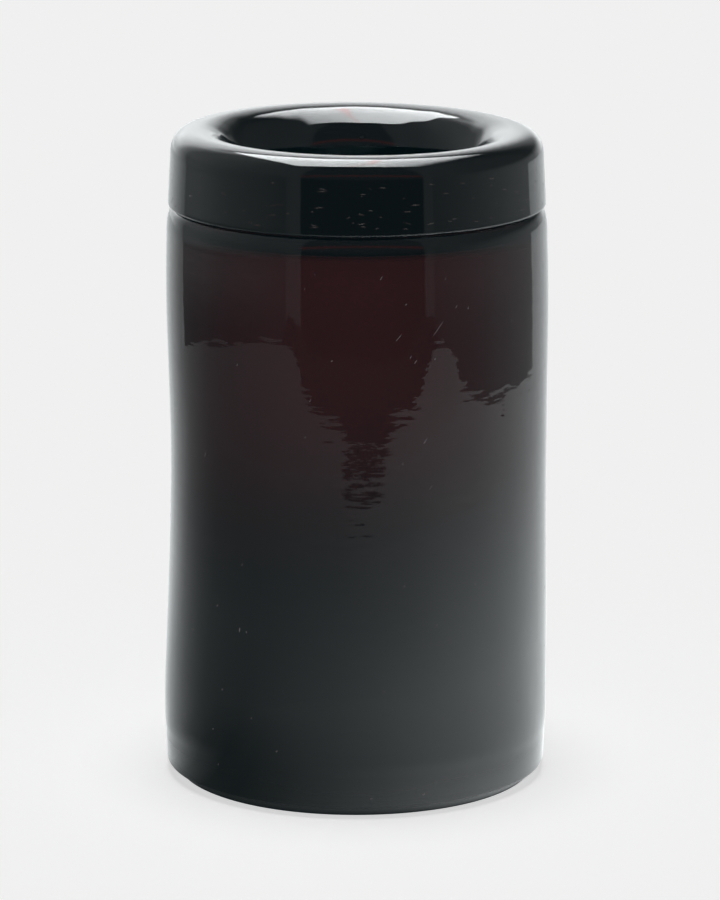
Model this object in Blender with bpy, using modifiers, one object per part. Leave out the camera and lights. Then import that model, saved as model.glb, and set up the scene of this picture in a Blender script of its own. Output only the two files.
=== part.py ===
"""Apothecary jar: a blown glass jar and its heavy dished glass lid.

Metres, +Z up. The origin is the middle of the foot, on the surface that the jar stands on,
and +Z is the axis that both pieces are turned about.

The jar is one thick-walled vessel with a flat ground rim. The lid is a solid ring of glass
with a deep dish in its middle; the underside of the dish is a plug that drops into the
jar's mouth and keeps the lid on centre, while the ring rests on the rim.
"""
from math import cos, pi, sin

import bpy

MM = 0.001
TURN_STEPS = 64                   # flat facets round every turned piece

# Where the two pieces meet
SEAM_HEIGHT = 182.0 * MM          # the jar's ground rim
SEAT_GAP = 0.3 * MM               # between the rim and the lid's ground face

# Jar, outside: a nearly straight wall with a slight waist
FOOT_RADIUS = 60.7 * MM
WAIST_RADIUS = 59.35 * MM
BREAST_RADIUS = 60.0 * MM
NECK_RADIUS = 59.6 * MM
FOOT_BULGE_HEIGHT = 28.0 * MM
WAIST_HEIGHT = 97.0 * MM
BREAST_HEIGHT = 150.0 * MM
SHOULDER_HEIGHT = 174.0 * MM      # where the wall starts to round over to the rim
SHOULDER_INSET = 2.6 * MM
HEEL_EDGE_RADIUS = 60.0 * MM      # crisp edge at which the wall ends
HEEL_EDGE_HEIGHT = 3.8 * MM
HEEL_ARRIS = 0.8 * MM             # softening of that edge
FOOT_RING_RADIUS = 55.5 * MM      # outside of the flat ring it stands on, under the edge
PONTIL_RADIUS = 17.0 * MM         # ground and polished hollow under the base
PONTIL_DEPTH = 1.4 * MM

# Jar, inside
WALL = 5.0 * MM
BASE_THICKNESS = 8.0 * MM
INNER_HEEL = 9.0 * MM
MOUTH_RADIUS = 51.6 * MM
LIP_HEIGHT = 7.0 * MM             # depth below the rim where the mouth's straight ring starts
NECK_INSIDE_HEIGHT = 168.0 * MM   # up to here the wall keeps its thickness

# Lid
LID_RADIUS = 59.0 * MM            # at its foot, beside the seam
LID_HEIGHT = 23.7 * MM            # seat to crest
LID_DRAFT = 0.8 * MM              # the side leans in by this much below its rounding
LID_ARRIS = 0.6 * MM              # softened lower edge
CREST_RADIUS = 50.2 * MM          # circle along the top of the ring
CREST_DROP = 8.0 * MM             # height of the rounding outside the crest
CREST_SQUARENESS = 2.4            # exponent of the rounding: 2 is an ellipse
DISH_MOUTH_RADIUS = 36.3 * MM
DISH_LIP_DROP = 14.0 * MM         # height of the rounding inside the crest
DISH_FLOOR_RADIUS = 35.4 * MM     # where the dish's side would meet its floor
DISH_FLOOR_HEIGHT = 179.2 * MM
DISH_CORNER = 7.0 * MM            # rounding between the side and the floor
DISH_FLOOR_SAG = 0.8 * MM         # the floor is a little lower in the middle
PLUG_RADIUS = 50.2 * MM
PLUG_TAPER = 0.5 * MM
PLUG_BOTTOM_HEIGHT = 176.0 * MM
PLUG_CORNER = 2.0 * MM


def rounding(centre, half_width, half_height, start, end, steps, squareness=2.0):
    """Points of a quarter of a squared-off ellipse, from angle start to end in degrees.

    x = centre x + half_width * cos(a) ^ (2 / squareness), and z likewise with sin(a).
    """
    points = []
    for step in range(steps + 1):
        angle = (start + (end - start) * step / steps) * pi / 180
        across, along = cos(angle), sin(angle)
        power = 2 / squareness
        points.append((
            centre[0] + half_width * abs(across) ** power * (1 if across >= 0 else -1),
            centre[1] + half_height * abs(along) ** power * (1 if along >= 0 else -1),
        ))
    return points


def smooth_run(stations, steps):
    """Points of a curve through the (x, z) stations, by Catmull-Rom between each pair."""
    ends = [stations[0], *stations, stations[-1]]
    points = []
    for before, start, end, after in zip(ends, ends[1:], ends[2:], ends[3:]):
        for step in range(steps):
            t = step / steps
            points.append(tuple(
                0.5 * (2 * b + (c - a) * t + (2 * a - 5 * b + 4 * c - d) * t ** 2
                       + (3 * b - a - 3 * c + d) * t ** 3)
                for a, b, c, d in zip(before, start, end, after)
            ))
    return points + [stations[-1]]


def jar_profile():
    """From the middle of the inner floor, up inside, over the rim, down to the foot."""
    inner_radius = FOOT_RADIUS - WALL
    inner_floor = [(0, BASE_THICKNESS)]
    inner_floor += rounding((inner_radius - INNER_HEEL, BASE_THICKNESS + INNER_HEEL),
                            INNER_HEEL, INNER_HEEL, -90, 0, 5)
    inner_wall = smooth_run([
        (WAIST_RADIUS - WALL, WAIST_HEIGHT),
        (BREAST_RADIUS - WALL, BREAST_HEIGHT),
        (NECK_RADIUS - WALL, NECK_INSIDE_HEIGHT),
        (MOUTH_RADIUS, SEAM_HEIGHT - LIP_HEIGHT),
    ], 3)
    rim = [(MOUTH_RADIUS, SEAM_HEIGHT)]
    rim += rounding((NECK_RADIUS - SHOULDER_INSET, SHOULDER_HEIGHT),
                    SHOULDER_INSET, SEAM_HEIGHT - SHOULDER_HEIGHT, 90, 15, 4)
    outer_wall = smooth_run([
        (NECK_RADIUS, SHOULDER_HEIGHT),
        (BREAST_RADIUS, BREAST_HEIGHT),
        (WAIST_RADIUS, WAIST_HEIGHT),
        (FOOT_RADIUS, FOOT_BULGE_HEIGHT),
        (HEEL_EDGE_RADIUS, HEEL_EDGE_HEIGHT),
    ], 3)
    foot = rounding((HEEL_EDGE_RADIUS - HEEL_ARRIS, HEEL_EDGE_HEIGHT),
                    HEEL_ARRIS, HEEL_ARRIS, 0, -57, 3)[1:]
    foot += [(FOOT_RING_RADIUS, 0)]
    pontil = [
        (PONTIL_RADIUS, 0),
        (PONTIL_RADIUS * 0.8, PONTIL_DEPTH * 0.7),
        (PONTIL_RADIUS * 0.4, PONTIL_DEPTH),
        (0, PONTIL_DEPTH),
    ]
    return inner_floor + inner_wall + rim + outer_wall + foot + pontil


def lid_profile():
    """From the middle of the dish, up its side, over the crest, down and in under the plug."""
    seat = SEAM_HEIGHT + SEAT_GAP
    crest = seat + LID_HEIGHT
    dish_floor = [(0, DISH_FLOOR_HEIGHT - DISH_FLOOR_SAG)]
    dish_floor += rounding((DISH_FLOOR_RADIUS - DISH_CORNER, DISH_FLOOR_HEIGHT + DISH_CORNER),
                           DISH_CORNER, DISH_CORNER, -90, -5, 5)
    dish_lip = rounding((CREST_RADIUS, crest - DISH_LIP_DROP),
                        CREST_RADIUS - DISH_MOUTH_RADIUS, DISH_LIP_DROP, 180, 90, 8)
    shoulder = rounding((CREST_RADIUS, crest - CREST_DROP),
                        LID_RADIUS - LID_DRAFT - CREST_RADIUS, CREST_DROP, 90, 0, 9,
                        CREST_SQUARENESS)[1:]
    lower_edge = rounding((LID_RADIUS - LID_ARRIS, seat + LID_ARRIS),
                          LID_ARRIS, LID_ARRIS, 0, -90, 2)
    plug = [(PLUG_RADIUS, seat)]
    plug += rounding((PLUG_RADIUS - PLUG_TAPER - PLUG_CORNER, PLUG_BOTTOM_HEIGHT + PLUG_CORNER),
                     PLUG_CORNER, PLUG_CORNER, 0, -90, 3)
    plug += [(0, PLUG_BOTTOM_HEIGHT)]
    return dish_floor + dish_lip + shoulder + lower_edge + plug


def glass(name, colour, roughness):
    """A Principled material: colour, roughness and no metal."""
    material = bpy.data.materials.new(name)
    material.use_nodes = True
    shader = material.node_tree.nodes["Principled BSDF"]
    shader.inputs["Base Color"].default_value = (*colour, 1)
    shader.inputs["Roughness"].default_value = roughness
    shader.inputs["Metallic"].default_value = 0
    return material


def turned(name, profile, material, collection):
    """One piece turned about +Z: the profile as a chain of edges, with a Screw modifier."""
    mesh = bpy.data.meshes.new(name)
    edges = [(i, i + 1) for i in range(len(profile) - 1)]
    mesh.from_pydata([(x, 0, z) for x, z in profile], edges, [])
    mesh.materials.append(material)
    piece = bpy.data.objects.new(name, mesh)
    collection.objects.link(piece)
    screw = piece.modifiers.new("turn", "SCREW")
    screw.axis = "Z"
    screw.angle = 2 * pi
    screw.steps = screw.render_steps = TURN_STEPS
    screw.use_merge_vertices = True
    screw.merge_threshold = 0.00001
    screw.use_smooth_shade = True
    return piece


def main():
    for old in list(bpy.data.objects):
        bpy.data.objects.remove(old)
    parts = bpy.data.collections.new("apothecary_jar")
    bpy.context.scene.collection.children.link(parts)
    ruby = glass("ruby_glass", (0.030, 0.012, 0.014), 0.04)
    teal = glass("teal_black_glass", (0.008, 0.014, 0.016), 0.04)
    turned("jar", jar_profile(), ruby, parts)
    turned("lid", lid_profile(), teal, parts)


main()
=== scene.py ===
# %% [markdown]
# # A blown glass apothecary jar
# A straight-sided jar in near-black glass with a heavy dished lid. Black glass has almost no
# colour of its own to show: what makes it look real is the shape of its reflections, so most
# of this lesson is about smooth turned surfaces, the small unevenness that a glassblower
# leaves in them, and the soft room that they reflect.

# %% The fixed frame
from math import pi, radians

import bpy
import numpy as np
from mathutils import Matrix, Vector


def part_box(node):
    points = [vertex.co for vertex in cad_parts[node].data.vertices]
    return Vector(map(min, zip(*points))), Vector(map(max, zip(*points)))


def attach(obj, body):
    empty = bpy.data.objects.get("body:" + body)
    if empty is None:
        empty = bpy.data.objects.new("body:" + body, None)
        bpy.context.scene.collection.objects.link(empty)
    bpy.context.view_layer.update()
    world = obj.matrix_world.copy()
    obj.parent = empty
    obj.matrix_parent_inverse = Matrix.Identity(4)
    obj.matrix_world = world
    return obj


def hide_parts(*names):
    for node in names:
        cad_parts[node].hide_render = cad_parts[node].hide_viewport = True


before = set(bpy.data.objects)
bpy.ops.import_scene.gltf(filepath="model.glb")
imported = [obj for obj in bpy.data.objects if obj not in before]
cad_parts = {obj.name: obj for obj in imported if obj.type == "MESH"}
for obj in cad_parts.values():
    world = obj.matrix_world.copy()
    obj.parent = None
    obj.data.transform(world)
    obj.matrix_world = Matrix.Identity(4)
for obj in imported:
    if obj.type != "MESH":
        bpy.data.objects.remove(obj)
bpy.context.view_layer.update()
MM = 0.001
jar_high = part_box("jar")[1]
lid_low, lid_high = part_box("lid")
print("jar is", round(jar_high.z / MM, 1), "mm to its rim, lid crest at", round(lid_high.z / MM, 1), "mm")

# %% [markdown]
# ## Camera
# The jar is looked at from a little above the height of its lid, from a metre and a half away
# with a long lens, which keeps its sides nearly parallel. Glassware is usually shown so,
# because a short lens close by would splay the base.

# %% Camera
CAMERA_AWAY = 1.5164
CAMERA_ASIDE = 0.00096
CAMERA_HEIGHT = 0.4605
CAMERA_DOWN = radians(13.267)
LENS_MM = 197.52

camera_data = bpy.data.cameras.new("camera")
camera_data.lens = LENS_MM
camera_data.sensor_width = 36
camera_data.clip_end = 50
camera = bpy.data.objects.new("camera", camera_data)
camera.location = (CAMERA_ASIDE, -CAMERA_AWAY, CAMERA_HEIGHT)
camera.rotation_euler = (pi / 2 - CAMERA_DOWN, 0, 0)
bpy.context.scene.collection.objects.link(camera)
bpy.context.scene.camera = camera
bpy.context.scene.view_settings.view_transform = "Standard"

# %% [markdown]
# ## Curves for the outlines
# A glassblower turns the glass all the time that it is soft, so both pieces are turned shapes.
# Their outlines need only two kinds of stretch: a rounding, which is part of an ellipse or of
# a squared-off ellipse, and a smooth line through a few stations. Each is one formula worked
# out on a whole array.


# %% Rounding and smooth line
def rounding(centre, half_width, half_height, start, end, count, squareness=2.0):
    """Part of a squared-off ellipse from angle start to end, in degrees, as (radius, height) rows.

    radius = centre + half_width * cos(angle) ^ (2 / squareness), with the cosine's sign kept,
    height = centre + half_height * sin(angle) ^ (2 / squareness), with the sine's sign kept.
    """
    angle = np.radians(np.linspace(start, end, count))
    across, along = np.cos(angle), np.sin(angle)
    power = 2 / squareness
    return np.column_stack([
        centre[0] + half_width * np.sign(across) * np.abs(across) ** power,
        centre[1] + half_height * np.sign(along) * np.abs(along) ** power,
    ])


def through(stations, count):
    """A smooth line through the stations (Catmull-Rom), as count rows.

    Between two stations it is the cubic whose slope at each of them is half the step between
    that station's two neighbours.
    """
    stations = np.array(stations, float)
    last = len(stations) - 1
    place = np.linspace(0, last, count)
    left = np.minimum(place.astype(int), last - 1)
    t = (place - left)[:, None]
    a = stations[np.maximum(left - 1, 0)]
    b = stations[left]
    c = stations[left + 1]
    d = stations[np.minimum(left + 2, last)]
    return 0.5 * (2 * b + (c - a) * t + (2 * a - 5 * b + 4 * c - d) * t ** 2
                  + (3 * b - a - 3 * c + d) * t ** 3)


def straight(start, end, count):
    """Evenly spaced rows on a straight line, both ends included."""
    return np.linspace(start, end, count)


def joined(*stretches):
    """The stretches end to end, without the rows that would lie on top of the one before."""
    rows = np.vstack(stretches)
    step = np.hypot(*np.diff(rows, axis=0).T)
    return rows[np.concatenate([[True], step > 1e-7])]


# %% [markdown]
# ## Turning an outline into glass
# A Screw modifier would turn the outline exactly round. Real blown glass is not exactly round,
# so the turning is done here on a grid instead: one parameter runs along the outline, the
# other round the axis, and a wander function moves the grid a little before it is made a mesh.
# The two ends of the outline lie on the axis, and each closes in one point.

# %% Turned surface
TURNS = 288


def turned(name, outline, wander):
    """A closed surface: the outline's rows times TURNS angles, with a point at each pole.

    x = radius * cos(turn), y = radius * sin(turn), z = height, and then wander(x, y, z, turn)
    gives the grid back, moved.
    """
    inner, ends = outline[1:-1], outline[[0, -1]]
    turn = np.linspace(0, 2 * pi, TURNS, endpoint=False)[None, :]
    radius, height = inner[:, :1], inner[:, 1:]
    grid = wander(radius * np.cos(turn), radius * np.sin(turn), height + 0 * turn, turn)
    poles = wander(np.zeros((2, 1)), np.zeros((2, 1)), ends[:, 1:], np.zeros((2, 1)))
    points = np.vstack([np.stack(grid, -1).reshape(-1, 3), np.stack(poles, -1).reshape(-1, 3)])
    rows = len(inner)
    index = np.arange(rows * TURNS).reshape(rows, TURNS)
    after = np.roll(index, -1, axis=1)
    quads = np.stack([index[:-1], index[1:], after[1:], after[:-1]], -1).reshape(-1, 4)
    first = np.stack([np.full(TURNS, rows * TURNS), index[0], after[0]], -1)
    last = np.stack([index[-1], np.full(TURNS, rows * TURNS + 1), after[-1]], -1)
    mesh = bpy.data.meshes.new(name)
    mesh.from_pydata(points, [], quads.tolist() + first.tolist() + last.tolist())
    mesh.shade_smooth()
    mesh.set_sharp_from_angle(angle=radians(50))
    piece = bpy.data.objects.new(name, mesh)
    bpy.context.scene.collection.objects.link(piece)
    print(name, len(mesh.vertices), "points", len(mesh.polygons), "faces")
    return piece


# %% [markdown]
# ## The jar
# The jar is blown in one piece, cut off flat at the top and ground there, so that the lid
# seats on a true ring. Its wall is about 5 mm thick, swells a little at the foot and again
# under the shoulder, and draws in between. It ends below in a crisp edge, under which the base
# is cut back to the flat ring that it stands on. Outside and inside are one closed outline,
# because glass is seen right through to its inner face.

# %% Jar outline
SEAM = jar_high.z
FOOT_RADIUS = jar_high.x
WAIST_RADIUS = 59.35 * MM
BREAST_RADIUS = 60.0 * MM
NECK_RADIUS = 59.6 * MM
WALL = 5 * MM
MOUTH_RADIUS = 51.6 * MM
FOOT_BULGE_HEIGHT = 28 * MM
WAIST_HEIGHT = 97 * MM
BREAST_HEIGHT = 150 * MM
NECK_INSIDE_HEIGHT = 172 * MM     # up to here the wall keeps its thickness
LIP_HEIGHT = 4 * MM               # the mouth's straight ring, below the rim
SHOULDER_HEIGHT = SEAM - 8 * MM
SHOULDER_INSET = 2.6 * MM
BASE_THICKNESS = 8 * MM
HEEL_EDGE_RADIUS = 60.0 * MM      # the crisp edge at which the wall ends
HEEL_EDGE_HEIGHT = 4.0 * MM
HEEL_ARRIS = 0.8 * MM
FOOT_RING_RADIUS = 55.5 * MM      # outside of the flat ring it stands on
UNDERCUT_WIDTH = 4.1 * MM
UNDERCUT_HEIGHT = 3.2 * MM
INNER_HEEL = 9 * MM
PONTIL_RADIUS = 17 * MM
PONTIL_DEPTH = 1.4 * MM
ARRIS = 0.35 * MM                 # softening of the ground rim's inner edge

jar_outline = joined(
    straight((0, BASE_THICKNESS), (FOOT_RADIUS - WALL - INNER_HEEL, BASE_THICKNESS), 14),
    rounding((FOOT_RADIUS - WALL - INNER_HEEL, BASE_THICKNESS + INNER_HEEL),
             INNER_HEEL, INNER_HEEL, -90, 0, 12),
    through([
        (FOOT_RADIUS - WALL, BASE_THICKNESS + INNER_HEEL),
        (FOOT_RADIUS - WALL, 30 * MM),
        (WAIST_RADIUS - WALL, WAIST_HEIGHT),
        (BREAST_RADIUS - WALL, BREAST_HEIGHT),
        (NECK_RADIUS - WALL, NECK_INSIDE_HEIGHT),
        (MOUTH_RADIUS, SEAM - LIP_HEIGHT),
        (MOUTH_RADIUS, SEAM - ARRIS),
    ], 80),
    rounding((MOUTH_RADIUS + ARRIS, SEAM - ARRIS), ARRIS, ARRIS, 180, 90, 4),
    straight((MOUTH_RADIUS + ARRIS, SEAM), (NECK_RADIUS - SHOULDER_INSET, SEAM), 6),
    rounding((NECK_RADIUS - SHOULDER_INSET, SHOULDER_HEIGHT),
             SHOULDER_INSET, SEAM - SHOULDER_HEIGHT, 90, 0, 22),
    through([
        (NECK_RADIUS, SHOULDER_HEIGHT),
        (BREAST_RADIUS, BREAST_HEIGHT),
        (WAIST_RADIUS, WAIST_HEIGHT),
        (FOOT_RADIUS, FOOT_BULGE_HEIGHT),
        (HEEL_EDGE_RADIUS + 0.3 * MM, 12 * MM),
        (HEEL_EDGE_RADIUS, HEEL_EDGE_HEIGHT),
    ], 130),
    rounding((HEEL_EDGE_RADIUS - HEEL_ARRIS, HEEL_EDGE_HEIGHT), HEEL_ARRIS, HEEL_ARRIS, 0, -57, 10),
    straight((FOOT_RING_RADIUS + UNDERCUT_WIDTH, UNDERCUT_HEIGHT),
             (FOOT_RING_RADIUS + 0.5 * MM, 0.25 * MM), 8),
    rounding((FOOT_RING_RADIUS, 0.6 * MM), 0.8 * MM, 0.6 * MM, -40, -90, 5),
    straight((FOOT_RING_RADIUS, 0), (PONTIL_RADIUS, 0), 8),
    through([
        (PONTIL_RADIUS, 0),
        (PONTIL_RADIUS * 0.8, PONTIL_DEPTH * 0.7),
        (PONTIL_RADIUS * 0.4, PONTIL_DEPTH),
        (0, PONTIL_DEPTH),
    ], 10),
)
print("jar outline", len(jar_outline), "rows")

# %% [markdown]
# ### Hand unevenness
# The jar sways by less than a millimetre from the axis as it goes up, and its section is not
# quite round: it has two, three and five broad lobes, which drift round as they climb. Sums
# of a few cosines give this, and they leave the height alone, so the foot and the ground rim
# stay flat. The unevenness is far too small to see in the outline, but every reflection on
# the wall bends with it.

# %% Jar unevenness
SWAY_STATIONS = [(-0.5, 0), (-0.6, 7), (-0.6, 20), (-0.6, 30), (0.0, 60), (0.5, 100), (0.45, 122),
                 (0.15, 155), (0, 182)]


def blown(x, y, z, turn):
    """Moves the grid sideways by the sway, and in or out by three sets of lobes."""
    sway_line = through(SWAY_STATIONS, 60) * MM
    sway = np.interp(z, sway_line[:, 1], sway_line[:, 0])
    high = z / MM
    lobes = (0.10 * np.cos(2 * turn + high / 60 + 0.8)
             + 0.07 * np.cos(3 * turn - high / 34 + 2.0)
             + 0.045 * np.cos(5 * turn + high / 21 + 4.1)) * MM
    radius = np.hypot(x, y)
    share = 1 + lobes / np.maximum(radius, 20 * MM)
    return x * share + sway, y * share, z


jar = turned("jar_glass", jar_outline, blown)

# %% [markdown]
# ## The lid
# The lid is one heavy piece: a thick ring with a rounded crest, shaped while the glass is
# soft, with a deep dish in the middle whose underside drops into the mouth as a plug. Its
# side leans in slightly towards the top, and its lower face is flat to match the rim.

# %% Lid outline
LID_RADIUS = lid_high.x
CREST = lid_high.z
SEAT = SEAM + 0.1 * MM             # the two ground faces all but touch
LID_DRAFT = 0.8 * MM
LID_ARRIS = 0.9 * MM
CREST_RADIUS = 50.2 * MM
CREST_DROP = 8 * MM
CREST_SQUARENESS = 2.4
DISH_MOUTH_RADIUS = 36.3 * MM
DISH_LIP_DROP = 14 * MM
DISH_FLOOR_RADIUS = 35.4 * MM
DISH_FLOOR = 179.2 * MM
DISH_CORNER = 7 * MM
DISH_SAG = 0.8 * MM                # the dish's floor is a little lower in the middle
PLUG_BOTTOM = lid_low.z
PLUG_RADIUS = 50.2 * MM
PLUG_TAPER = 0.5 * MM
PLUG_CORNER = 2 * MM

lid_outline = joined(
    through([
        (0, DISH_FLOOR - DISH_SAG),
        (20 * MM, DISH_FLOOR - 0.5 * MM),
        (DISH_FLOOR_RADIUS - DISH_CORNER, DISH_FLOOR),
    ], 16),
    rounding((DISH_FLOOR_RADIUS - DISH_CORNER, DISH_FLOOR + DISH_CORNER),
             DISH_CORNER, DISH_CORNER, -90, -5, 14),
    straight((DISH_FLOOR_RADIUS, DISH_FLOOR + DISH_CORNER),
             (DISH_MOUTH_RADIUS, CREST - DISH_LIP_DROP), 16),
    rounding((CREST_RADIUS, CREST - DISH_LIP_DROP),
             CREST_RADIUS - DISH_MOUTH_RADIUS, DISH_LIP_DROP, 180, 90, 28),
    rounding((CREST_RADIUS, CREST - CREST_DROP),
             LID_RADIUS - LID_DRAFT - CREST_RADIUS, CREST_DROP, 90, 0, 34, CREST_SQUARENESS),
    straight((LID_RADIUS - LID_DRAFT, CREST - CREST_DROP), (LID_RADIUS, SEAT + LID_ARRIS), 18),
    rounding((LID_RADIUS - LID_ARRIS, SEAT + LID_ARRIS), LID_ARRIS, LID_ARRIS, 0, -90, 12),
    straight((LID_RADIUS - LID_ARRIS, SEAT), (PLUG_RADIUS, SEAT), 8),
    straight((PLUG_RADIUS, SEAT), (PLUG_RADIUS - PLUG_TAPER, PLUG_BOTTOM + PLUG_CORNER), 6),
    rounding((PLUG_RADIUS - PLUG_TAPER - PLUG_CORNER, PLUG_BOTTOM + PLUG_CORNER),
             PLUG_CORNER, PLUG_CORNER, 0, -90, 8),
    straight((PLUG_RADIUS - PLUG_TAPER - PLUG_CORNER, PLUG_BOTTOM), (0, PLUG_BOTTOM), 10),
)
print("lid outline", len(lid_outline), "rows")

# %% [markdown]
# ### Tool marks
# A ring that is finished with a hand tool is not quite even. This one is a little thinner on
# one side, and the dish's side has broad shallow dents, which break up the softbox's
# reflection there. The dish is also slightly oval. How oval it is and how the dents lie are
# guesses. The dents and the oval fade out away from the dish, so the seat stays flat.

# %% Lid unevenness
CREST_FALL = 0.0078               # the ring is thinner towards +X by this much in 1


def tooled(x, y, z, turn):
    """Lets the crest fall towards +X, dents the dish's side and makes the dish slightly oval.

    z falls by CREST_FALL * (x + 50 mm) * height above the seat, from 0 to 1, and the radius
    grows by a sum of cosines of the angle, faded out by exp(-(distance from 42 mm / 4 mm)^2).
    """
    above_seat = np.clip((z - SEAT) / (CREST - SEAT), 0, 1)
    fall = -CREST_FALL * (x + 50 * MM) * above_seat
    radius = np.hypot(x, y)
    in_dish = np.exp(-((radius - 42 * MM) / (4 * MM)) ** 2) * above_seat
    dents = (0.12 * np.cos(7 * turn + 1.0) + 0.10 * np.cos(11 * turn + 2.6)
             + 0.06 * np.cos(19 * turn + 0.4) + 0.04 * np.cos(31 * turn + 1.7)) * MM * in_dish
    oval = 2.2 * MM * np.cos(turn) ** 2 * np.exp(-((radius - 37 * MM) / (5 * MM)) ** 2)
    round_off = 0.05 * np.cos(3 * turn + 0.5) * MM
    share = 1 + (dents + oval + round_off) / np.maximum(radius, 20 * MM)
    return x * share, y * share, z + fall


lid = turned("lid_glass", lid_outline, tooled)

# %% [markdown]
# ## Glass
# Both pieces are dark glass, clear but deeply coloured. The surface is a Principled shader with
# full transmission, which gives the colourless reflection of real glass. The colour is in the
# body of the glass: a Volume Absorption takes light away along the path, so a thick or slanting
# wall is darker than a thin one seen straight on, with no painting of edges.


# %% Glass helpers
# Painted glow: a faint teal emission put on the glass to lift its blacks.
PAINTED_TEAL_GLOW = (0.0010, 0.0037, 0.0046)


def new_glass(name, lets_through, thickness):
    """Clear smooth glass that lets the given share of light (red, green, blue) through a thickness.

    Absorption per metre = -ln(share) / thickness, which the Volume Absorption node holds as
    density * (1 - colour). The emission is a painted glow, a faint teal that lifts the blacks.
    """
    material = bpy.data.materials.new(name)
    material.use_nodes = True
    nodes, links = material.node_tree.nodes, material.node_tree.links
    shader = nodes["Principled BSDF"]
    shader.inputs["Base Color"].default_value = (1, 1, 1, 1)
    shader.inputs["Transmission Weight"].default_value = 1.0
    shader.inputs["IOR"].default_value = 1.5
    shader.inputs["Emission Color"].default_value = (*PAINTED_TEAL_GLOW, 1)
    shader.inputs["Emission Strength"].default_value = 1.0
    per_metre = -np.log(np.array(lets_through)) / thickness
    density = per_metre.max() * 1.05
    absorbed = nodes.new("ShaderNodeVolumeAbsorption")
    absorbed.inputs["Density"].default_value = density
    absorbed.inputs["Color"].default_value = (*(1 - per_metre / density), 1)
    links.new(absorbed.outputs["Volume"], nodes["Material Output"].inputs["Volume"])
    print(name, "takes", np.round(per_metre), "of light per metre")
    return material, nodes, links, shader


def mapped(nodes, links, value, low, high, to_low, to_high):
    """Map Range from low..high to to_low..to_high; gives the node, to be read at Result."""
    spread = nodes.new("ShaderNodeMapRange")
    spread.inputs["From Min"].default_value = low
    spread.inputs["From Max"].default_value = high
    spread.inputs["To Min"].default_value = to_low
    spread.inputs["To Max"].default_value = to_high
    links.new(value, spread.inputs["Value"])
    return spread


def drawn_noise(nodes, links, stretch, scale, detail):
    """Noise on Object coordinates, drawn out by the stretch (x, y, z); gives its Fac socket."""
    place = nodes.new("ShaderNodeTexCoord")
    mapping = nodes.new("ShaderNodeMapping")
    mapping.inputs["Scale"].default_value = stretch
    noise = nodes.new("ShaderNodeTexNoise")
    noise.inputs["Scale"].default_value = scale
    noise.inputs["Detail"].default_value = detail
    links.new(place.outputs["Object"], mapping.inputs["Vector"])
    links.new(mapping.outputs["Vector"], noise.inputs["Vector"])
    return noise.outputs["Fac"]


def ripples(nodes, links, shader, waves):
    """Chains a bump for each (stretch, scale, depth) wave, and leads the last to the shader."""
    normal = None
    for stretch, scale, depth in waves:
        bump = nodes.new("ShaderNodeBump")
        bump.inputs["Distance"].default_value = depth
        bump.inputs["Strength"].default_value = 1.0
        links.new(drawn_noise(nodes, links, stretch, scale, 1.5), bump.inputs["Height"])
        if normal:
            links.new(normal, bump.inputs["Normal"])
        normal = bump.outputs["Normal"]
    links.new(normal, shader.inputs["Normal"])


def handled(nodes, links, shader, least, most):
    """Roughness between least and most in soft patches, as fire polish and handling leave it."""
    patches = drawn_noise(nodes, links, (1, 1, 0.6), 60, 4)
    spread = mapped(nodes, links, patches, 0.35, 0.7, least, most)
    links.new(spread.outputs["Result"], shader.inputs["Roughness"])


# %% [markdown]
# ### Ruby glass
# The jar's glass is a deep oxblood red that shows only where little else is reflected, and it
# is darkest towards the thick base, where the light has the longest way to go. Fine ripples
# lie round the wall, left by the turning, so the edges of reflections come out ragged.

# %% Ruby glass of the jar
DARK_BELOW, CLEAR_ABOVE = 45 * MM, 115 * MM
BASE_TINT, WALL_TINT = (0.12, 0.3, 0.3, 1), (0.97, 1, 1, 1)

ruby, nodes, links, shader = new_glass("ruby_glass", (0.155, 0.053, 0.055), WALL)
ripples(nodes, links, shader, [((0.12, 0.12, 1), 400, 0.000012), ((0.4, 0.4, 1), 350, 0.000026)])
handled(nodes, links, shader, 0.0, 0.02)
place = nodes.new("ShaderNodeTexCoord")
height = nodes.new("ShaderNodeSeparateXYZ")
links.new(place.outputs["Object"], height.inputs["Vector"])
depth_of_colour = mapped(nodes, links, height.outputs["Z"], DARK_BELOW, CLEAR_ABOVE, 0, 1)
depth_of_colour.interpolation_type = "SMOOTHSTEP"
colours = nodes.new("ShaderNodeMix")
colours.data_type = "RGBA"
colours.inputs["A"].default_value = BASE_TINT
colours.inputs["B"].default_value = WALL_TINT
links.new(depth_of_colour.outputs["Result"], colours.inputs["Factor"])
links.new(colours.outputs["Result"], shader.inputs["Base Color"])
jar.data.materials.append(ruby)

# %% [markdown]
# ### Teal-black glass
# The lid's glass has a darker and cooler colour than the jar's, and it is so thick that hardly
# any light comes through. Its surface is smoother than the jar's, so it has one faint ripple.

# %% Teal-black glass of the lid
teal, nodes, links, shader = new_glass("teal_black_glass", (0.0007, 0.0016, 0.002), 5 * MM)
ripples(nodes, links, shader, [((0.5, 0.5, 1), 60, 0.000004)])
handled(nodes, links, shader, 0.0, 0.02)
lid.data.materials.append(teal)
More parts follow.
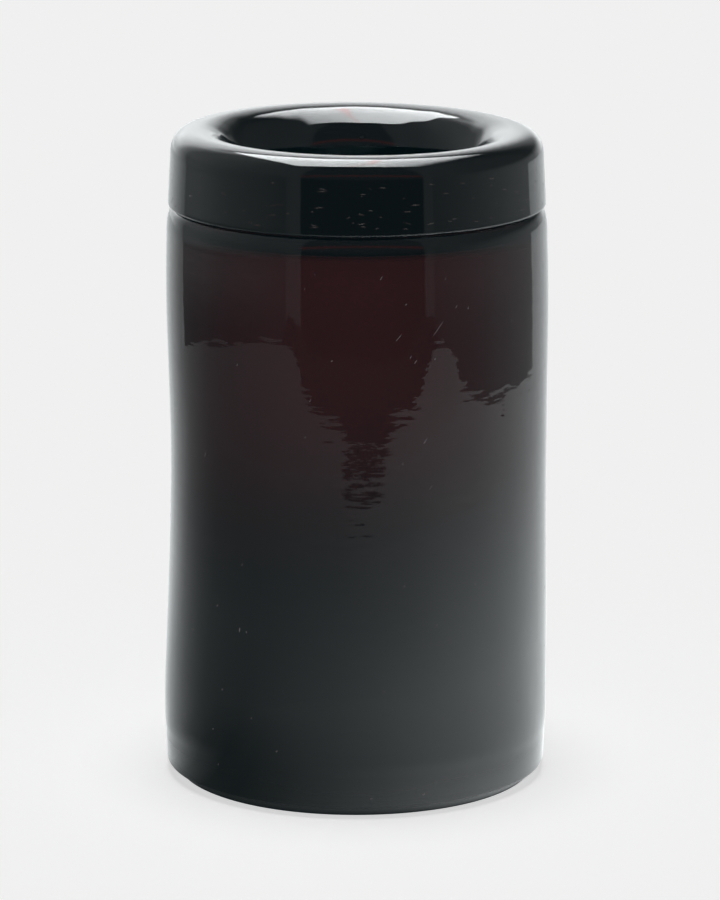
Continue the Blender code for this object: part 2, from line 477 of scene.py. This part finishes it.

# %% [markdown]
# ## Seeds
# Hand-melted glass keeps small bubbles, which glassmakers call seeds. Working draws them out:
# those in the jar's wall lie at a slant, because the gather was twisted as it was blown, and
# those in the lid lie level, along its turning. Each is a small ellipsoid just under the
# surface. A few long ones are listed one by one and the rest are strewn all round.


# %% Seeds helper
def seeds(name, outline, reach, move, places):
    """One ellipsoid for each (angle, height, length, width, slant) row of places.

    A point of a unit ball (across, out, along) goes to the seed's centre + across * width / 2
    + along * length / 2 + out * 0.12 mm, with across and along turned by the slant, in degrees
    from upright. Angle 0 is in front and 90 on the right; reach picks the outline's outer rows.
    """
    rows = outline[(outline[:, 0] > reach[0]) & (outline[:, 1] > reach[1]) & (outline[:, 1] < reach[2])]
    rows = rows[np.argsort(rows[:, 1])]
    angle, middle, length, width, slant = np.array(places, float).T[:, :, None]
    east, north = np.meshgrid(np.linspace(0, 2 * pi, 8, endpoint=False), np.linspace(-1.2, 1.2, 5))
    across = (np.cos(north) * np.cos(east)).ravel()
    out = (np.cos(north) * np.sin(east)).ravel()
    along = np.sin(north).ravel()
    lean = np.radians(slant)
    side = across * width / 2 * np.cos(lean) + along * length / 2 * np.sin(lean)
    high = middle + along * length / 2 * np.cos(lean) - across * width / 2 * np.sin(lean)
    radius = np.interp(high * MM, rows[:, 1], rows[:, 0]) + (0.12 * out - 0.06) * MM
    turn = np.radians(angle - 90) + side * MM / radius
    x, y, z = move(radius * np.cos(turn), radius * np.sin(turn), high * MM, turn)
    points = np.stack([x, y, z], -1).reshape(-1, 3)
    index = np.arange(40).reshape(5, 8)
    after = np.roll(index, -1, axis=1)
    quads = np.stack([index[:-1], after[:-1], after[1:], index[1:]], -1).reshape(-1, 4)
    ends = np.stack([index[0][::-1], index[-1]])
    first = index.size * np.arange(len(places))[:, None, None]
    quads = (quads[None] + first).reshape(-1, 4).tolist()
    ends = (ends[None] + first).reshape(-1, 8).tolist()
    mesh = bpy.data.meshes.new(name)
    mesh.from_pydata(points, [], quads + ends)
    mesh.shade_smooth()
    piece = bpy.data.objects.new(name, mesh)
    bpy.context.scene.collection.objects.link(piece)
    print(name, len(places), "seeds", len(mesh.polygons), "faces")
    return piece


def seed_glass(name, colour_and_painted_glow):
    """Pale bubbles with a painted glow: their colour is also emitted, more and less by a noise."""
    material = bpy.data.materials.new(name)
    material.use_nodes = True
    nodes, links = material.node_tree.nodes, material.node_tree.links
    shader = nodes["Principled BSDF"]
    shader.inputs["Base Color"].default_value = (*colour_and_painted_glow, 1)
    shader.inputs["Emission Color"].default_value = (*colour_and_painted_glow, 1)
    patch = mapped(nodes, links, drawn_noise(nodes, links, (1, 1, 1), 900, 2), 0.3, 0.7, 0.3, 1.7)
    links.new(patch.outputs["Result"], shader.inputs["Emission Strength"])
    handled(nodes, links, shader, 0.05, 0.3)
    return material


# %% [markdown]
# ### Where the seeds lie
# Each row is an angle in degrees, a height in mm, a length and a width in mm and a slant in
# degrees. The jar has a few long seeds near the right of its front and small ones everywhere,
# the lid a belt of level streaks round its side. All but the jar's short list are random.

# %% Seeds of the jar
strewn = np.random.default_rng(7)
JAR_SEEDS = [(24, 153.6, 6.0, 0.24, 38), (12, 151.6, 3.0, 0.24, 42), (7, 170, 1.6, 0.3, 30),
             (17, 143.9, 1.6, 0.3, 36), (15.5, 145.4, 1.3, 0.25, 30), (30, 159.8, 1.5, 0.25, 35),
             (65, 161.5, 2.0, 0.3, 25), (20, 119, 2.4, 0.3, 34), (21.7, 104.2, 1.8, 0.25, 40),
             (-37, 57.3, 1.8, 0.45, 8), (-34.5, 57, 0.8, 0.35, 0), (4.8, 6.6, 1.0, 0.5, 40),
             (20.7, 7, 1.0, 0.6, 60), (-53, 110, 2.2, 0.25, 20), (-14, 132, 1.2, 0.3, 30)]
SPECKS = 150
speck_length = strewn.uniform(0.3, 1.0, SPECKS)
specks = np.column_stack([
    strewn.uniform(-180, 180, SPECKS),
    strewn.uniform(10, 172, SPECKS),
    speck_length,
    np.minimum(speck_length, strewn.uniform(0.22, 0.4, SPECKS)),
    strewn.uniform(15, 50, SPECKS),
])
jar_seeds = seeds("jar_seeds", jar_outline, (57 * MM, 4.2 * MM, 180 * MM), blown,
                  np.vstack([JAR_SEEDS, specks]))
jar_seeds.data.materials.append(seed_glass("pale_seeds", (0.042, 0.034, 0.036)))

# %% Seeds of the lid
STREAKS = 170
streak_length = strewn.uniform(0.6, 3.2, STREAKS)
streaks = np.column_stack([
    strewn.uniform(-180, 180, STREAKS),
    strewn.uniform(184.5, 198, STREAKS),
    streak_length,
    strewn.uniform(0.2, 0.42, STREAKS),
    90 + strewn.normal(0, 6, STREAKS),
])
lid_seeds = seeds("lid_seeds", lid_outline, (57.9 * MM, 183 * MM, 199 * MM), tooled, streaks)
lid_seeds.data.materials.append(seed_glass("brown_seeds", (0.0085, 0.0045, 0.0042)))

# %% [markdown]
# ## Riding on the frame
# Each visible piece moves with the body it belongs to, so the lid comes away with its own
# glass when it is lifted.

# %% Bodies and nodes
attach(jar, "jar_body")
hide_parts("jar")
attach(lid, "lid_body")
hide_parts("lid")
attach(jar_seeds, "jar_body")
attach(lid_seeds, "lid_body")

# %% [markdown]
# ## Studio
# The jar stands on a plain pale floor in front of an even white ground, under one soft light.
# Glass also needs something to reflect, which in a studio is cards and a softbox hung out of
# the picture. Here they are two surfaces that only reflections see: a flat one over the
# floor, brighter towards the light on the right, and a big dome with the room, the white
# ground behind and the softbox overhead. Their brightness is fitted: it is given at a few
# angles and distances, chosen so that the glass looks as it should, and blended in between.


# %% Stage helpers
def glowing(name, points, faces, glow):
    """A surface that only reflections see, with the brightness glow at each point."""
    mesh = bpy.data.meshes.new(name)
    mesh.from_pydata(points, [], faces)
    attribute = mesh.attributes.new("glow", "FLOAT_COLOR", "POINT")
    colour = np.ones((len(points), 4), np.float32)
    colour[:, :3] = glow
    attribute.data.foreach_set("color", colour.ravel())
    material = bpy.data.materials.new(name)
    material.use_nodes = True
    nodes, links = material.node_tree.nodes, material.node_tree.links
    nodes.clear()
    value = nodes.new("ShaderNodeAttribute")
    value.attribute_name = "glow"
    light = nodes.new("ShaderNodeEmission")
    output = nodes.new("ShaderNodeOutputMaterial")
    links.new(value.outputs["Color"], light.inputs["Color"])
    links.new(light.outputs["Emission"], output.inputs["Surface"])
    material.cycles.emission_sampling = "NONE"
    mesh.materials.append(material)
    card = bpy.data.objects.new(name, mesh)
    bpy.context.scene.collection.objects.link(card)
    card.visible_camera = card.visible_diffuse = card.visible_transmission = False
    card.visible_shadow = card.visible_volume_scatter = False
    return card


def grid_faces(rows, columns):
    """The quads of a grid of points stored row by row."""
    index = np.arange(rows * columns).reshape(rows, columns)
    return np.stack([index[:-1, :-1], index[1:, :-1], index[1:, 1:], index[:-1, 1:]],
                    -1).reshape(-1, 4).tolist()


def step(value, edge, softness):
    """0 below the edge and 1 above it, with a smooth change as wide as the softness."""
    t = np.clip((value - edge) / softness + 0.5, 0, 1)
    return t * t * (3 - 2 * t)


# %% [markdown]
# ### The floor that the wall reflects
# Most of the wall reflects the table top, so the wall's grey is a map of how the table is lit:
# bright behind and on the right, dim in front on the left. Each row of GLOW is the brightness
# at one distance from the foot, at the angles in AROUND. The table's front edge is at EDGE_GAP,
# and the dark room beyond it is what gives the wall its dark red middle.

# %% Floor as reflections see it
CARD_HEIGHT = 0.0002
FLOOR_TINT = np.array([0.96, 1.0, 1.01])
# Painted shadow: the floor that reflections see is painted darker right under the heel, as the jar's
# contact shadow.
PAINTED_CONTACT_SHADOW = 0.93               # how much darker the floor is right under the heel
CONTACT_SHADOW_REACH = 0.0055
AROUND = [-180, -150, -140, -130, -120, -110, -100, -90, -75, -60, -45, -30, -10, 10,
          30, 50, 70, 90, 110, 130, 150, 180]
GAPS = [0.009, 0.045, 0.135, 0.26, 0.40, 0.54]
GLOW = [
    [1.0, 1.1, 1.1, 1.1, 1.1, 1.1, 1.08, 0.95, 0.4, 0.13, 0.13, 0.25, 0.55, 1.0,
     1.65, 2.05, 1.8, 1.62, 1.5, 1.2, 1.03, 1.0],
    [1.0, 1.1, 1.1, 1.08, 1.03, 0.8, 0.57, 0.34, 0.17, 0.13, 0.2, 0.34, 0.54, 0.79,
     1.15, 1.47, 1.7, 1.72, 1.68, 1.26, 1.12, 1.0],
    [1.0, 1.1, 1.11, 0.98, 0.79, 0.57, 0.43, 0.32, 0.27, 0.28, 0.38, 0.5, 0.65, 0.88,
     1.17, 1.46, 1.74, 1.78, 1.78, 1.5, 1.29, 1.0],
    [1.0, 1.15, 1.15, 0.94, 0.65, 0.49, 0.38, 0.32, 0.31, 0.32, 0.37, 0.43, 0.53, 0.66,
     0.85, 1.14, 1.35, 1.5, 1.5, 1.35, 1.25, 1.0],
    [1.0, 1.06, 0.86, 0.67, 0.45, 0.34, 0.27, 0.23, 0.24, 0.26, 0.3, 0.33, 0.37, 0.48,
     0.58, 0.74, 0.86, 1.03, 1.09, 1.09, 1.14, 1.0],
    [1.0, 0.95, 0.78, 0.51, 0.39, 0.34, 0.28, 0.26, 0.28, 0.31, 0.33, 0.34, 0.38, 0.44,
     0.5, 0.55, 0.75, 0.98, 1.02, 0.93, 1.05, 1.0],
]
EDGE_AROUND = [-180, -128, -127, -117, -80, -50, -43, -39, -35.5, -33.8, -32, -30, -26, -18, -8, -6,
               4, 15, 18, 23, 29, 36, 42, 46, 50, 54, 58, 62, 72, 83, 96, 111, 121, 127, 128, 180]
EDGE_GAP = [3, 3, 0.56, 0.565, 0.59, 0.675, 0.66, 0.64, 0.606, 0.565, 0.52, 0.502, 0.486, 0.473, 0.461,
            0.443, 0.434, 0.438, 0.452, 0.471, 0.476, 0.505, 0.595, 0.665, 0.68, 0.663, 0.60, 0.53,
            0.508, 0.507, 0.525, 0.538, 0.555, 0.56, 3, 3]


def floor_card(name, gap, angle, height, glow):
    """A card over the floor on a grid of gaps from the foot and angles, angle 0 in front."""
    away = FOOT_RADIUS + gap
    angle = angle + 0 * gap
    points = np.stack([away * np.sin(angle), -away * np.cos(angle), height + 0 * away], -1)
    glowing(name, points.reshape(-1, 3), grid_faces(*gap.shape), glow.reshape(-1, 3))


around = np.linspace(-180, 180, 721)[None, :]
angle = np.radians(around)
TUCK = 0.0060                     # the floor goes on under the undercut heel by this much
outer = np.interp(around, EDGE_AROUND, EDGE_GAP)
gap = -TUCK + (outer + TUCK) * np.linspace(0, 1, 90)[:, None] ** 2
strength = 0 * gap + np.interp(around, AROUND, GLOW[0])
for inner_gap, outer_gap, inner_glow, outer_glow in zip(GAPS, GAPS[1:], GLOW, GLOW[1:]):
    change = np.interp(around, AROUND, outer_glow) - np.interp(around, AROUND, inner_glow)
    strength = strength + change * np.clip((gap - inner_gap) / (outer_gap - inner_gap), 0, 1)
# Painted contact shadow: the reflected floor darkens close under the heel.
strength = strength * (1 - PAINTED_CONTACT_SHADOW * np.exp(-((gap + TUCK) / CONTACT_SHADOW_REACH) ** 2))
floor_card("floor_glow", gap, angle, CARD_HEIGHT, strength[..., None] * FLOOR_TINT)

# %% [markdown]
# ### What stands at the floor's edge
# Beyond the front edge lies a dim strip, as if of the room's own floor, and two dark spots lie
# on the table, as the feet of a stand and of a card would. Both are fitted like the brightness.

# %% Dark things that stand on the floor in front
DIM = 0.095                       # the strip beyond the floor's front edge
SPOT_HEIGHT = 0.0006
DIM_AROUND = [-44, -40, -34, -31, -27, -20, 20, 28, 33, 38, 44, 48]
DIM_GAP = [0.66, 0.85, 0.80, 0.70, 0.62, 0.60, 0.60, 0.62, 0.70, 0.85, 0.85, 0.67]

front = np.linspace(-44, 48, 185)[None, :]
near_edge = np.interp(front, EDGE_AROUND, EDGE_GAP)
far_edge = np.maximum(np.interp(front, DIM_AROUND, DIM_GAP), near_edge)
gap = near_edge + np.linspace(0, 1, 4)[:, None] * (far_edge - near_edge)
floor_card("dim_strip", gap, np.radians(front), CARD_HEIGHT, np.full((*gap.shape, 3), DIM))


def dark_spot(name, middle_angle, middle_gap, half_angle, half_gap):
    """An oval dark spot on the floor, in rings whose share of its size goes from 0 to 1.

    gap = middle_gap + half_gap * share * sin(t), angle = middle_angle + half_angle * share * cos(t).
    """
    t = np.linspace(0, 2 * pi, 49)[None, :]
    share = np.linspace(0, 1, 3)[:, None]
    gap = middle_gap + half_gap * share * np.sin(t)
    angle = np.radians(middle_angle + half_angle * share * np.cos(t))
    floor_card(name, gap, angle, SPOT_HEIGHT, np.full((*gap.shape, 3), DIM))


dark_spot("foot_of_stand", 3, 0.421, 12.5, 0.010)
dark_spot("foot_of_card", 92, 0.500, 3.5, 0.003)

# %% [markdown]
# ### The room that the lid and the upper wall reflect
# A dome round the jar holds the rest: the room's brightness round about at three heights (under
# the horizon, level and above), the white ground behind, and one big softbox overhead, which
# makes the bright patch at the back of the dish and the bright line along the crest. A red rail
# across the front and a red cord in front of the softbox are made up: they stand for whatever
# leaves the two faint red traces on the lid.

# %% Room as reflections see it
ROOM_AROUND = [-180, -165, -150, -140, -129, -128, -120, -110, -100, -85, -60, -43, -42, -34, -33,
               40, 41, 46, 47, 60, 75, 90, 105, 127, 128, 140, 150, 165, 180]
LOW_GLOW = [0.85, 0.95, 1.0, 0.7, 0.50, 0.13, 0.12, 0.12, 0.12, 0.11, 0.11, 0.13, 0.26, 0.26, 0.07,
            0.07, 0.27, 0.27, 0.15, 0.19, 0.23, 0.31, 0.36, 0.36, 0.42, 0.43, 0.8, 1.0, 0.85]
LEVEL_GLOW = [1.3, 1.5, 1.4, 0.9, 0.42, 0.31, 0.36, 0.42, 0.41, 0.34, 0.27, 0.20, 0.27, 0.28, 0.07,
              0.07, 0.26, 0.26, 0.20, 0.25, 0.33, 0.40, 0.44, 0.38, 0.38, 0.42, 0.8, 1.7, 1.3]
HIGH_GLOW = [1.9, 2.5, 2.2, 0.90, 0.45, 0.43, 0.47, 0.50, 0.48, 0.42, 0.32, 0.30, 0.30, 0.28, 0.13,
             0.12, 0.25, 0.25, 0.24, 0.25, 0.22, 0.20, 0.18, 0.12, 0.10, 0.07, 0.12, 0.45, 1.9]
ROOM_RADIUS = 4
ROOM_CENTRE = np.array([0, 0, 0.12])
ROOM_TINT = np.array([0.97, 1.0, 1.01])
ROOM_ROWS, ROOM_COLUMNS = 361, around.size
SOFTBOX = 11
SOFTBOX_HALF = 0.46               # half width of the softbox, one metre overhead
SOFTBOX_FRONT, SOFTBOX_BACK = -0.268, 0.95
RAIL_MIDDLE, RAIL_REACH = 3, 37   # degrees round, where the rail's middle is and how far it goes
RAIL_RED = np.array([0.36, 0.0, 0.0])
CORD_SHADE = np.array([0.0, 0.25, 0.25])

above = np.linspace(-30, 90, ROOM_ROWS)[:, None]
up = np.radians(above)
toward = np.stack([np.cos(up) * np.sin(angle), -np.cos(up) * np.cos(angle), np.sin(up) + 0 * angle], -1)
low, level, high = (np.interp(around, ROOM_AROUND, glow) for glow in (LOW_GLOW, LEVEL_GLOW, HIGH_GLOW))
strength = low + (level - low) * step(above, -9, 8)
strength = strength + (high - strength) * step(above, 8, 12)
strength = strength * (1 - 0.6 * step(above, 37, 8) * step(np.abs(around), 150, 14))
# The softbox hangs flat, so its edges are straight in across and along, one metre overhead.
rise = np.maximum(toward[..., 2], 0.02)
across, along = toward[..., 0] / rise, toward[..., 1] / rise
softbox = (step(along, SOFTBOX_FRONT + 0.012 * np.sin(9 * across), 0.03)
           * (1 - step(along, SOFTBOX_BACK, 0.1))
           * step(across, -SOFTBOX_HALF, 0.04) * (1 - step(across, SOFTBOX_HALF, 0.22)))
brightness = SOFTBOX * np.interp(across, [-0.5, -0.1, 0.1, 0.3, 0.5], [1.08, 1.03, 0.92, 0.68, 0.45])
strength = strength + (brightness - strength) * softbox
# The rail is level, so it sinks towards its ends as seen from the jar.
rail_height = 25 - 0.0075 * (around - RAIL_MIDDLE) ** 2
rail = np.exp(-((above - rail_height) / 3) ** 2) * (1 - step(np.abs(around - RAIL_MIDDLE), RAIL_REACH, 4))
cord_line = np.interp(along, [-0.7, 0.1, 1.2], [-0.17, 0.085, 0.045])
cord = np.exp(-((across - cord_line) / 0.02) ** 2) * step(above, 56, 6)
glow = strength[..., None] * ROOM_TINT
glow = glow * (1 - cord[..., None] * CORD_SHADE)
glow = glow + rail[..., None] * RAIL_RED
dome = (ROOM_CENTRE + ROOM_RADIUS * toward).reshape(-1, 3)
glowing("room_glow", dome, grid_faces(ROOM_ROWS, ROOM_COLUMNS), glow.reshape(-1, 3))

# %% [markdown]
# ### White ground
# The ground behind is the world's own white, and the floor comes out the same white because it
# adds a glow of its own to what the lamp gives it. The lamp is a wide soft one straight
# overhead, so the only shadow is a short soft one round the foot.

# %% White ground, floor and light
WHITE = 0.871                     # what the ground and the lit floor both come out as
FLOOR_WHITE = 0.8
FLOOR_LIFT = 0.72                 # the share of it that comes from all round, shadow or not

world = bpy.data.worlds.new("white_ground")
world.use_nodes = True
world.node_tree.nodes["Background"].inputs["Color"].default_value = (WHITE, WHITE, WHITE, 1)
world.cycles_visibility.glossy = False
world.cycles_visibility.diffuse = False
bpy.context.scene.world = world

bpy.ops.mesh.primitive_plane_add(size=30)
floor = bpy.context.object
floor.name = "floor"
floor_paint = bpy.data.materials.new("pale_floor")
floor_paint.use_nodes = True
paint = floor_paint.node_tree.nodes["Principled BSDF"]
paint.inputs["Base Color"].default_value = (FLOOR_WHITE, FLOOR_WHITE, FLOOR_WHITE, 1)
paint.inputs["Emission Color"].default_value = (WHITE, WHITE, WHITE, 1)
paint.inputs["Emission Strength"].default_value = FLOOR_LIFT
paint.inputs["Roughness"].default_value = 1.0
paint.inputs["Specular IOR Level"].default_value = 0.0
floor.data.materials.append(floor_paint)
floor.visible_glossy = False

sun_data = bpy.data.lights.new("soft_light", "SUN")
sun_data.energy = (1 - FLOOR_LIFT) * WHITE * pi / FLOOR_WHITE
sun_data.angle = radians(19)
sun = bpy.data.objects.new("soft_light", sun_data)
sun.visible_glossy = False
bpy.context.scene.collection.objects.link(sun)
